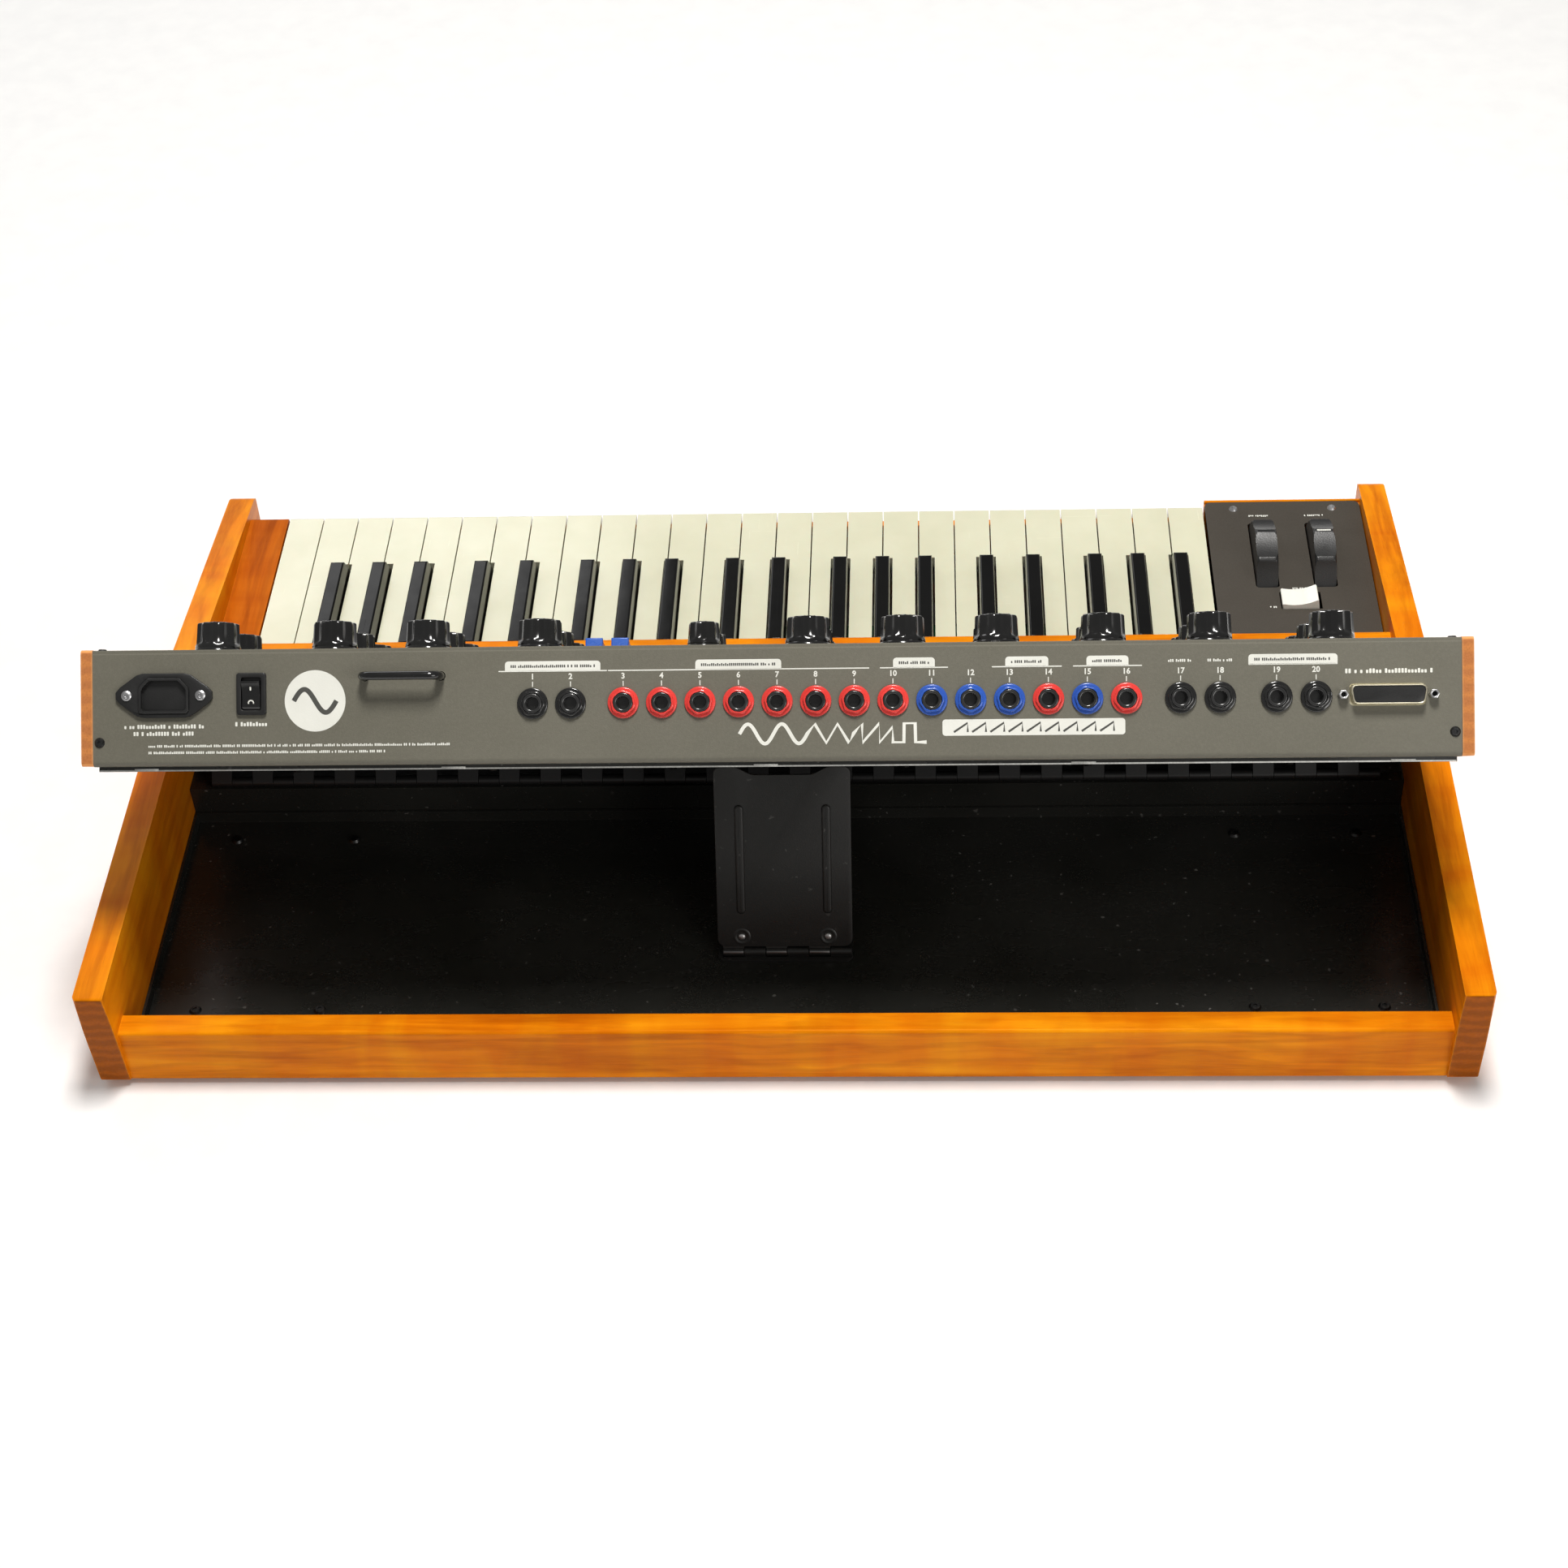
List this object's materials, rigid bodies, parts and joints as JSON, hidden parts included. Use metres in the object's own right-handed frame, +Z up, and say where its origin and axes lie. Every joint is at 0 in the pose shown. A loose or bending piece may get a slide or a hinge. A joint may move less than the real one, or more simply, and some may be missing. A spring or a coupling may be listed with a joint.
{
  "type": "keyboard synthesizer",
  "caption": "Wooden-cased keyboard synthesizer with a hinged control panel propped up over a shallow tray, pitch and mod wheels, knobs, and coloured jack sockets along the rear.",
  "frame": {"origin": "centre of the footprint, on the plane the feet stand on, with the control panel raised", "axes": "+Z up, -Y the player's side with the keys, +Y the rear with the jack sockets, +X the treble end"},
  "size_m": [0.775, 0.4789, 0.2403],
  "materials": {
    "case_wood": "satin lacquered",
    "red_wood": "satin",
    "cheek_wood": "oiled, strong grain",
    "black_sheet": "gloss",
    "hinge_steel": "blackened",
    "prop_black": "matt powder coat",
    "foot_rubber": "matt",
    "controller_black": "fine matt powder coat",
    "plated_steel": "zinc plated",
    "circuit_board": "satin",
    "screw_steel": "blackened",
    "panel_grey": "fine powder coat",
    "bar_black": "gloss",
    "moulded_black": "semi-gloss",
    "power_black": "semi-gloss",
    "nut_red": "satin",
    "nut_blue": "satin",
    "nut_black": "satin",
    "port_metal": "tin plated",
    "supply_metal": "plain",
    "pot_metal": "plain",
    "knob_black": "gloss",
    "rocker_blue": "gloss",
    "wheel_black": "satin",
    "rocker_white": "gloss",
    "key_white": "gloss",
    "key_black": "gloss"
  },
  "bodies": {
    "case": {"side_panel_treble": "case_wood", "side_panel_bass": "case_wood", "rear_rail": "case_wood", "front_rail": "case_wood", "key_strip": "case_wood", "treble_block": "red_wood", "base_tray": "black_sheet", "bottom_plate": "black_sheet", "deck_plate": "black_sheet", "hinge_case_leaf": "hinge_steel", "prop_base_leaf": "prop_black", "feet": "foot_rubber", "controller_plate": "controller_black", "wheel_frame": "plated_steel", "key_frame": "plated_steel", "key_pivot_rod": "plated_steel", "contact_board": "circuit_board", "key_springs": "plated_steel", "case_screws": "screw_steel"},
    "control_panel": {"panel_tray": "panel_grey", "panel_face": "panel_grey", "cheek_treble": "cheek_wood", "cheek_bass": "cheek_wood", "hinge_panel_leaf": "hinge_steel", "lock_bar": "bar_black", "iec_inlet": "moulded_black", "rocker_bezel": "moulded_black", "jack_sockets": "moulded_black", "jack_nuts_red": "nut_red", "jack_nuts_blue": "nut_blue", "jack_nuts_black": "nut_black", "accessory_port": "port_metal", "control_board": "circuit_board", "power_supply": "supply_metal", "knob_pots": "pot_metal", "panel_screws": "screw_steel", "panel_knobs": "knob_black"},
    "volume_knob": {"volume_knob": "knob_black"},
    "cutoff_knob": {"cutoff_knob": "knob_black"},
    "mixer_rocker_one": {"mixer_rocker_one": "rocker_blue"},
    "mixer_rocker_two": {"mixer_rocker_two": "rocker_blue"},
    "power_rocker": {"power_rocker": "power_black"},
    "prop": {"prop_plate": "prop_black"},
    "pitch_wheel": {"pitch_wheel": "wheel_black"},
    "mod_wheel": {"mod_wheel": "wheel_black"},
    "glide_rocker": {"glide_rocker": "rocker_white"},
    "other_white_keys": {"white_keys": "key_white"},
    "other_black_keys": {"black_keys": "key_black"},
    "key_c": {"key_c": "key_white"},
    "key_c_sharp": {"key_c_sharp": "key_black"},
    "key_d": {"key_d": "key_white"},
    "key_d_sharp": {"key_d_sharp": "key_black"},
    "key_e": {"key_e": "key_white"},
    "key_f": {"key_f": "key_white"},
    "key_f_sharp": {"key_f_sharp": "key_black"},
    "key_g": {"key_g": "key_white"},
    "key_g_sharp": {"key_g_sharp": "key_black"},
    "key_a": {"key_a": "key_white"},
    "key_a_sharp": {"key_a_sharp": "key_black"},
    "key_b": {"key_b": "key_white"}
  },
  "joints": [
    {"name": "panel_tilt", "type": "hinge", "parent": "case", "child": "control_panel", "pos_m": [0, 0.0237, 0.0374], "axis": [1, 0, 0], "range_deg": [-43.75, 0]},
    {"name": "prop_fold", "type": "hinge", "parent": "case", "child": "prop", "pos_m": [0, 0.1425, 0.0105], "axis": [1, 0, 0], "range_deg": [0, 61.8]},
    {"name": "pitch_bend", "type": "hinge", "parent": "case", "child": "pitch_wheel", "pos_m": [0, -0.1665, 0.0396], "axis": [1, 0, 0], "range_deg": [-30, 30], "stiffness_Nm_per_rad": 0.06},
    {"name": "mod_turn", "type": "hinge", "parent": "case", "child": "mod_wheel", "pos_m": [0, -0.1665, 0.0396], "axis": [1, 0, 0], "range_deg": [-30, 30]},
    {"name": "glide_switch", "type": "hinge", "parent": "case", "child": "glide_rocker", "pos_m": [-0.322, -0.1205, 0.048], "axis": [0, 1, 0], "range_deg": [-16, 0]},
    {"name": "power_switch", "type": "hinge", "parent": "control_panel", "child": "power_rocker", "pos_m": [0.2768, 0.14917, 0.22202], "axis": [1, 0, 0], "range_deg": [0, 18]},
    {"name": "volume_turn", "type": "hinge", "parent": "control_panel", "child": "volume_knob", "pos_m": [0.3018, 0.11575, 0.22018], "axis": [0, -0.7461, 0.6659], "range_deg": [-150, 150]},
    {"name": "cutoff_turn", "type": "hinge", "parent": "control_panel", "child": "cutoff_knob", "pos_m": [0.1864, 0.11575, 0.22018], "axis": [0, -0.7461, 0.6659], "range_deg": [-150, 150]},
    {"name": "mixer_switch_one", "type": "hinge", "parent": "control_panel", "child": "mixer_rocker_one", "pos_m": [0.095, 0.11649, 0.21951], "axis": [1, 0, 0], "range_deg": [-16, 0]},
    {"name": "mixer_switch_two", "type": "hinge", "parent": "control_panel", "child": "mixer_rocker_two", "pos_m": [0.081, 0.11649, 0.21951], "axis": [1, 0, 0], "range_deg": [-16, 0]},
    {"name": "key_c_press", "type": "hinge", "parent": "case", "child": "key_c", "pos_m": [0, -0.0285, 0.041], "axis": [1, 0, 0], "range_deg": [0, 3], "stiffness_Nm_per_rad": 1.2, "springref_deg": -8.02},
    {"name": "key_c_sharp_press", "type": "hinge", "parent": "case", "child": "key_c_sharp", "pos_m": [0, -0.0285, 0.041], "axis": [1, 0, 0], "range_deg": [0, 3], "stiffness_Nm_per_rad": 1.2, "springref_deg": -8.02},
    {"name": "key_d_press", "type": "hinge", "parent": "case", "child": "key_d", "pos_m": [0, -0.0285, 0.041], "axis": [1, 0, 0], "range_deg": [0, 3], "stiffness_Nm_per_rad": 1.2, "springref_deg": -8.02},
    {"name": "key_d_sharp_press", "type": "hinge", "parent": "case", "child": "key_d_sharp", "pos_m": [0, -0.0285, 0.041], "axis": [1, 0, 0], "range_deg": [0, 3], "stiffness_Nm_per_rad": 1.2, "springref_deg": -8.02},
    {"name": "key_e_press", "type": "hinge", "parent": "case", "child": "key_e", "pos_m": [0, -0.0285, 0.041], "axis": [1, 0, 0], "range_deg": [0, 3], "stiffness_Nm_per_rad": 1.2, "springref_deg": -8.02},
    {"name": "key_f_press", "type": "hinge", "parent": "case", "child": "key_f", "pos_m": [0, -0.0285, 0.041], "axis": [1, 0, 0], "range_deg": [0, 3], "stiffness_Nm_per_rad": 1.2, "springref_deg": -8.02},
    {"name": "key_f_sharp_press", "type": "hinge", "parent": "case", "child": "key_f_sharp", "pos_m": [0, -0.0285, 0.041], "axis": [1, 0, 0], "range_deg": [0, 3], "stiffness_Nm_per_rad": 1.2, "springref_deg": -8.02},
    {"name": "key_g_press", "type": "hinge", "parent": "case", "child": "key_g", "pos_m": [0, -0.0285, 0.041], "axis": [1, 0, 0], "range_deg": [0, 3], "stiffness_Nm_per_rad": 1.2, "springref_deg": -8.02},
    {"name": "key_g_sharp_press", "type": "hinge", "parent": "case", "child": "key_g_sharp", "pos_m": [0, -0.0285, 0.041], "axis": [1, 0, 0], "range_deg": [0, 3], "stiffness_Nm_per_rad": 1.2, "springref_deg": -8.02},
    {"name": "key_a_press", "type": "hinge", "parent": "case", "child": "key_a", "pos_m": [0, -0.0285, 0.041], "axis": [1, 0, 0], "range_deg": [0, 3], "stiffness_Nm_per_rad": 1.2, "springref_deg": -8.02},
    {"name": "key_a_sharp_press", "type": "hinge", "parent": "case", "child": "key_a_sharp", "pos_m": [0, -0.0285, 0.041], "axis": [1, 0, 0], "range_deg": [0, 3], "stiffness_Nm_per_rad": 1.2, "springref_deg": -8.02},
    {"name": "key_b_press", "type": "hinge", "parent": "case", "child": "key_b", "pos_m": [0, -0.0285, 0.041], "axis": [1, 0, 0], "range_deg": [0, 3], "stiffness_Nm_per_rad": 1.2, "springref_deg": -8.02},
    {"name": "other_white_keys_press", "type": "hinge", "parent": "case", "child": "other_white_keys", "pos_m": [0, -0.0285, 0.041], "axis": [1, 0, 0], "range_deg": [0, 3], "stiffness_Nm_per_rad": 22.8, "springref_deg": -8.02},
    {"name": "other_black_keys_press", "type": "hinge", "parent": "case", "child": "other_black_keys", "pos_m": [0, -0.0285, 0.041], "axis": [1, 0, 0], "range_deg": [0, 3], "stiffness_Nm_per_rad": 15.6, "springref_deg": -8.02}
  ],
  "couplings": [
    {"joint": "prop_fold", "follows": "panel_tilt", "ratio": -1.4125}
  ]
}
